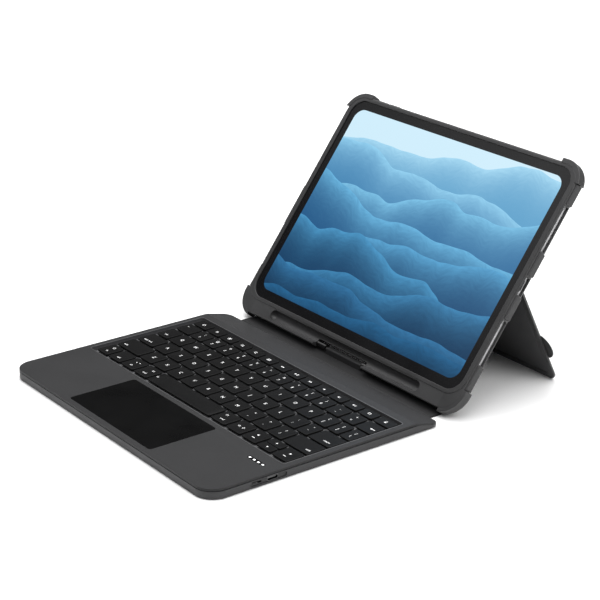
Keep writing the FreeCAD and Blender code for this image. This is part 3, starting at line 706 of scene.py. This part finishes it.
def text_shape(text, size):
    """Points and polygons of a short word, as a thin slab."""
    key = (text, size)
    if key in TEXT_CACHE:
        return TEXT_CACHE[key]
    curve = bpy.data.curves.new("legend_curve", "FONT")
    curve.body = text
    curve.size = size
    curve.resolution_u = 3
    curve.align_x = "CENTER"
    curve.align_y = "CENTER"
    curve.extrude = LEGEND_T / 2
    holder = bpy.data.objects.new("legend_holder", curve)
    bpy.context.scene.collection.objects.link(holder)
    mesh = bpy.data.meshes.new_from_object(holder)
    shape = ([tuple(v.co) for v in mesh.vertices], [tuple(p.vertices) for p in mesh.polygons])
    bpy.data.objects.remove(holder)
    bpy.data.curves.remove(curve)
    bpy.data.meshes.remove(mesh)
    TEXT_CACHE[key] = shape
    return shape


def polygon_prism(points):
    count = len(points)
    verts = [(x, y, -LEGEND_T / 2) for x, y in points] + [(x, y, LEGEND_T / 2) for x, y in points]
    faces = [tuple(reversed(range(count))), tuple(range(count, 2 * count))]
    faces += [(k, (k + 1) % count, (k + 1) % count + count, k + count) for k in range(count)]
    return verts, faces


def ring_prism(outer, inner):
    """Closed band between two outlines that have the same number of points."""
    count = len(outer)
    levels = (-LEGEND_T / 2, LEGEND_T / 2)
    verts = [(p[0], p[1], z) for z in levels for loop in (outer, inner) for p in loop]
    faces = []
    for k in range(count):
        n = (k + 1) % count
        low_out, low_in, high_out, high_in = [k + count * j for j in range(4)]
        next_low_out, next_low_in, next_high_out, next_high_in = [n + count * j for j in range(4)]
        faces.append((high_out, next_high_out, next_high_in, high_in))
        faces.append((low_out, low_in, next_low_in, next_low_out))
        faces.append((low_out, next_low_out, next_high_out, high_out))
        faces.append((low_in, high_in, next_high_in, next_low_in))
    return verts, faces


def icon_shapes(kind):
    """Prisms of a simple icon; any kind that isn't listed is a sun."""
    if kind == "arrow":
        return [polygon_prism([(0.9, 0.0), (-0.6, 0.85), (-0.6, -0.85)])]
    if kind == "bar":
        return [polygon_prism([(-0.9, -0.17), (0.9, -0.17), (0.9, 0.17), (-0.9, 0.17)])]
    if kind == "block":
        return [polygon_prism([(-0.9, -0.6), (0.9, -0.6), (0.9, 0.6), (-0.9, 0.6)])]
    if kind == "ring":
        return [ring_prism(circle_points(1.25), circle_points(0.92))]
    if kind == "frame":
        outer = [(-1.2, -0.9), (1.2, -0.9), (1.2, 0.9), (-1.2, 0.9)]
        return [ring_prism(outer, [(x * 0.74, y * 0.66) for x, y in outer])]
    rays = []
    for k in range(8):
        c, s = math.cos(math.tau * k / 8), math.sin(math.tau * k / 8)
        corners = [(1.0, -0.14), (1.5, -0.14), (1.5, 0.14), (1.0, 0.14)]
        rays.append(polygon_prism([(c * x - s * y, s * x + c * y) for x, y in corners]))
    return [polygon_prism(circle_points(0.65, 14))] + rays


def add_marks(bm, frame, marks):
    cx, cy = frame[:2]
    for kind, content, dx, dy, size, turn in marks:
        lettered = kind == "text"
        shapes = [text_shape(content, size)] if lettered else icon_shapes(content)
        scale = 1.0 if lettered else size
        c, s = math.cos(math.radians(turn)), math.sin(math.radians(turn))
        for verts, faces in shapes:
            made = []
            for x, y, z in verts:
                px = cx + dx + scale * (c * x - s * y)
                py = cy + dy + scale * (s * x + c * y)
                made.append(bm.verts.new(desk(px, py, cap_height(frame, px, py) + LEGEND_LIFT + z)))
            for face in faces:
                bm.faces.new([made[k] for k in face])


def finish_caps(cap_name, legend_name, caps, prints, body, node_name):
    piece = make_piece(cap_name, caps, MATERIALS["key"], body)
    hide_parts(node_name)
    make_piece(legend_name, prints, MATERIALS["legend"], body)


def build_keys():
    for row, body in enumerate(ROW_BODIES):
        caps, prints = bmesh.new(), bmesh.new()
        for index, (frame, marks) in enumerate(zip(key_frames(row), LEGENDS[row])):
            if row == 0 and index == SPACE:
                bar, bar_print = bmesh.new(), bmesh.new()
                key_cap(bar, frame)
                add_marks(bar_print, frame, marks)
                finish_caps("space_cap", "space_legend", bar, bar_print, "space_key", "space_bar")
            else:
                key_cap(caps, frame)
                add_marks(prints, frame, marks)
        number = row + 1
        names = ("caps_row_%d" % number, "legends_row_%d" % number)
        finish_caps(*names, caps, prints, body, "key_row_%d" % number)


# ---------------------------------------------------------------- flap, tab and edged copies

FLAP_HALF = 112.5
FLAP_CORNER = 6.0
FLAP_MIDDLE = 0.8
FLAP_REAR = 210.5
# Stations from front to rear: distance from the deck's front edge, half-thickness
FOLD_STATIONS = [
    (191.06, 0.34), (191.5, 0.38), (191.9, 0.30), (192.3, 0.38), (192.7, 0.30), (193.1, 0.40), (193.5, 0.62),
]
PANEL_STATIONS = [(193.9, 0.74), (194.5, 0.79), (196.0, 0.8), (199.0, 0.8), (202.0, 0.8), (204.5, 0.8)]
REAR_STATIONS = [(206.5, 0.8), (208.0, 0.8), (209.2, 0.8), (209.9, 0.76), (210.3, 0.62), (210.49, 0.36)]
# Rounding of the side edges: distance in from the edge, share of the thickness
SIDE_ROUNDING = [(0.0, 0.45), (0.25, 0.82), (0.7, 1.0)]
FLAT_INSET = 1.6
FLAT_COLUMNS = 24
LAST_CORNER_Y = 210.2


def flap_half_width(y):
    """Half-width of the flap, with rounded rear corners."""
    into = y - (FLAP_REAR - FLAP_CORNER)
    if into <= 0:
        return FLAP_HALF
    return FLAP_HALF - FLAP_CORNER + math.sqrt(max(0.0, FLAP_CORNER ** 2 - into ** 2))


def flap_columns(half):
    """Positions across the flap with the share of the thickness at each."""
    left = [(into - half, share) for into, share in SIDE_ROUNDING]
    flat = [((k / FLAT_COLUMNS - 1.0) * (half - FLAT_INSET), 1.0) for k in range(2 * FLAT_COLUMNS + 1)]
    right = [(half - into, share) for into, share in reversed(SIDE_ROUNDING)]
    return left + flat + right


def build_flap():
    """Laminated flap with its thinner living fold, one skin across the fold."""
    bm = bmesh.new()
    top, bottom = [], []
    for y, half_t in FOLD_STATIONS + PANEL_STATIONS + REAR_STATIONS:
        columns = flap_columns(flap_half_width(min(y, LAST_CORNER_Y)))
        top.append([bm.verts.new(desk(x, y, FLAP_MIDDLE + half_t * share)) for x, share in columns])
        bottom.append([bm.verts.new(desk(x, y, FLAP_MIDDLE - half_t * share + 0.01)) for x, share in columns])
    for low, high in zip(top, top[1:]):
        for k in range(len(low) - 1):
            bm.faces.new((low[k], low[k + 1], high[k + 1], high[k]))
    for low, high in zip(bottom, bottom[1:]):
        for k in range(len(low) - 1):
            bm.faces.new((high[k], high[k + 1], low[k + 1], low[k]))
    for j in range(len(top) - 1):
        bm.faces.new((top[j][0], top[j + 1][0], bottom[j + 1][0], bottom[j][0]))
        bm.faces.new((top[j][-1], bottom[j][-1], bottom[j + 1][-1], top[j + 1][-1]))
    for k in range(len(top[0]) - 1):
        bm.faces.new((top[0][k], bottom[0][k], bottom[0][k + 1], top[0][k + 1]))
        bm.faces.new((top[-1][k], top[-1][k + 1], bottom[-1][k + 1], bottom[-1][k]))
    piece = make_piece("flap_cover", bm, MATERIALS["flap"], None)
    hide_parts("flap_skin", "fold_strip")
    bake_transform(piece)


STAND_V = 80.0
STAND_W = -8.0
STAND_TURN = math.radians(63.4)


def stand_point(x, down, out):
    """Point given across, down from the stand's hinge and out of its rear face."""
    c, s = math.cos(STAND_TURN), math.sin(STAND_TURN)
    return leaning(x, STAND_V - c * down + s * out, STAND_W - s * down - c * out)


TAB_REACH = (50.0, 71.0)
TAB_TIP = 124.5
TAB_EDGE = 117.9
TAB_ROOT = 110.6
TAB_BASE = 1.16
TAB_FACE = 2.0
TAB_GROOVE = 0.16
PACKING_LOW = 0.86


def tab_outline():
    """Arc past the stand's side edge, closed by a straight root over the stand."""
    low, high = TAB_REACH
    rise = TAB_TIP - TAB_EDGE
    chord = (high - low) / 2
    radius = (chord ** 2 + rise ** 2) / (2 * rise)
    reach = math.asin(chord / radius)
    middle = (low + high) / 2
    centre = TAB_TIP - radius
    turns = [reach * (k / 12 - 1) for k in range(25)]
    outline = [Vector((centre + radius * math.cos(t), middle + radius * math.sin(t))) for t in turns]
    outline += [Vector((TAB_EDGE + (TAB_ROOT - TAB_EDGE) * k / 4, high)) for k in range(1, 5)]
    outline += [Vector((TAB_ROOT, high + (low - high) * k / 8)) for k in range(1, 9)]
    outline += [Vector((TAB_ROOT + (TAB_EDGE - TAB_ROOT) * k / 4, low)) for k in range(1, 4)]
    return outline


def build_pull_tab():
    """Leaf with rounded edges and a shallow groove inside its border, on a packing block."""
    outline = tab_outline()
    profile = [
        (0.35, TAB_BASE), (0.08, TAB_BASE + 0.1), (0.0, TAB_BASE + 0.3),
        (0.0, TAB_FACE - 0.3), (0.1, TAB_FACE - 0.1), (0.35, TAB_FACE), (0.95, TAB_FACE),
        (1.1, TAB_FACE - TAB_GROOVE), (1.35, TAB_FACE - TAB_GROOVE), (1.5, TAB_FACE),
    ]
    bm = bmesh.new()
    loft(bm, [(inset(outline, inwards), level) for inwards, level in profile], stand_point)
    packing = rounded_rectangle(113.5, sum(TAB_REACH) / 2, 2.9, 10.4, 0.5)
    loft(bm, [(packing, PACKING_LOW), (packing, TAB_BASE + 0.05)], stand_point)
    piece = make_piece("pull_leaf", bm, MATERIALS["tab"], "stand")
    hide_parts("pull_tab")


PIPE_X = 100.0
PIPE_Y = 51.0
PIPE_PITCH = 4.67
PIPE_HALF = (1.0, 0.72)


def build_status_marks():
    """Four raised light pipes along the status window."""
    bm = bmesh.new()
    for k in range(4):
        pipe = rounded_rectangle(PIPE_X + PIPE_PITCH * k, PIPE_Y, *PIPE_HALF, 0.4, arc=4)
        rings = [(pipe, 7.62), (pipe, 7.74), (inset(pipe, 0.12), 7.8)]
        loft(bm, rings, desk)
    piece = make_piece("status_marks", bm, MATERIALS["light"], "keyboard")
    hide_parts("led_lights")


MERGE_DISTANCE = 2e-6
FLAT_ANGLE = math.radians(0.4)
EDGE_ANGLE = math.radians(35)


def cleaned_mesh(name, source):
    """The CAD mesh with its seams welded and its flat triangles joined."""
    bm = bmesh.new()
    bm.from_mesh(source)
    bmesh.ops.remove_doubles(bm, verts=bm.verts, dist=MERGE_DISTANCE)
    bmesh.ops.dissolve_limit(bm, angle_limit=FLAT_ANGLE, verts=bm.verts, edges=bm.edges)
    mesh = bpy.data.meshes.new(name)
    bm.to_mesh(mesh)
    bm.free()
    return mesh


def edged_copy(name, node_name, material, body, width, segments=2):
    """The node's own form with its sharp edges rounded over, so that they catch the light."""
    mesh = cleaned_mesh(name + "_form", nodes[node_name].data)
    holder = bpy.data.objects.new(name + "_form", mesh)
    bpy.context.scene.collection.objects.link(holder)
    bevel = holder.modifiers.new("edge", "BEVEL")
    bevel.width = width * MM
    bevel.segments = segments
    bevel.limit_method = "ANGLE"
    bevel.angle_limit = EDGE_ANGLE
    bevel.use_clamp_overlap = True
    finished = bpy.data.meshes.new_from_object(holder.evaluated_get(bpy.context.evaluated_depsgraph_get()))
    bpy.data.objects.remove(holder)
    bpy.data.meshes.remove(mesh)
    # The imported normals no longer fit the bevelled faces.
    normals = finished.attributes.get("custom_normal")
    if normals:
        finished.attributes.remove(normals)
    bm = bmesh.new()
    bm.from_mesh(finished)
    bpy.data.meshes.remove(finished)
    piece = make_piece(name, bm, material, body)
    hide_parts(node_name)


build_keys()
build_flap()
build_pull_tab()
build_status_marks()
edged_copy("deck_skin", "deck_top_cover", MATERIALS["cover"], "keyboard", 0.45, 3)
edged_copy("deck_tray", "deck_lower_shell", MATERIALS["edge"], "keyboard", 0.3)
edged_copy("back_skin", "case_back_skin", MATERIALS["case_skin"], "case", 0.12)
edged_copy("stand_skin", "stand_lining", MATERIALS["case_skin"], "stand", 0.06)


# ---------------------------------------------------------------- floor, light and camera

def studio_floor():
    bpy.ops.mesh.primitive_plane_add(size=12.0)
    floor = bpy.context.object
    floor.name = "studio_floor"
    g = Graph("floor_paper")
    g.bump(g.noise(300.0, 3.0), 0.02, 0.0002)
    color = g.tint(g.noise(3.0), (0.9, 0.9, 0.9), (0.93, 0.93, 0.93))
    g.finish(color, g.spread(g.noise(20.0), 0.6, 0.7))
    dress(floor, g.mat)


def area_light(name, spot, target, size, power):
    data = bpy.data.lights.new(name, "AREA")
    data.energy = power
    data.size = size
    lamp = bpy.data.objects.new(name, data)
    bpy.context.scene.collection.objects.link(lamp)
    lamp.location = spot
    lamp.rotation_euler = (Vector(target) - Vector(spot)).to_track_quat("-Z", "Y").to_euler()


def studio():
    """Bright overhead softboxes in a room that darkens towards the horizon."""
    world = bpy.data.worlds.new("studio_world")
    bpy.context.scene.world = world
    world.use_nodes = True
    tree = world.node_tree
    background = tree.nodes["Background"]
    coords = tree.nodes.new("ShaderNodeTexCoord")
    split = tree.nodes.new("ShaderNodeSeparateXYZ")
    ramp = tree.nodes.new("ShaderNodeValToRGB")
    tree.links.new(coords.outputs["Generated"], split.inputs[0])
    tree.links.new(split.outputs["Z"], ramp.inputs["Fac"])
    ramp.color_ramp.elements[0].position = 0.46
    ramp.color_ramp.elements[0].color = (0.035, 0.035, 0.038, 1.0)
    ramp.color_ramp.elements[1].position = 0.72
    ramp.color_ramp.elements[1].color = (1.0, 1.0, 1.0, 1.0)
    tree.links.new(ramp.outputs["Color"], background.inputs["Color"])
    background.inputs["Strength"].default_value = 1.5
    subject = (0, 0.05, 0.05)
    area_light("key_light", (-0.7, 0.5, 1.7), subject, 1.4, 17.0)
    area_light("fill_light", (1.5, 0.3, 1.3), subject, 1.2, 14.0)
    area_light("top_light", (0.1, -0.4, 2.1), (0, 0, 0), 1.8, 17.0)


def add_camera():
    data = bpy.data.cameras.new("photo_camera")
    data.sensor_width = 36.0
    data.lens = 109.47
    data.clip_start = 0.01
    data.clip_end = 50.0
    camera = bpy.data.objects.new("photo_camera", data)
    bpy.context.scene.collection.objects.link(camera)
    back = Vector((0.7462, -0.5588, 0.3617)).normalized()
    right = Vector((0, 0, 1)).cross(back).normalized()
    upward = back.cross(right)
    turn = Matrix((right, upward, back)).transposed().to_4x4()
    camera.matrix_world = Matrix.Translation(desk(972.7, -562.1, 530.6)) @ turn
    bpy.context.scene.camera = camera


studio_floor()
studio()
add_camera()
bpy.context.scene.view_settings.view_transform = "Standard"
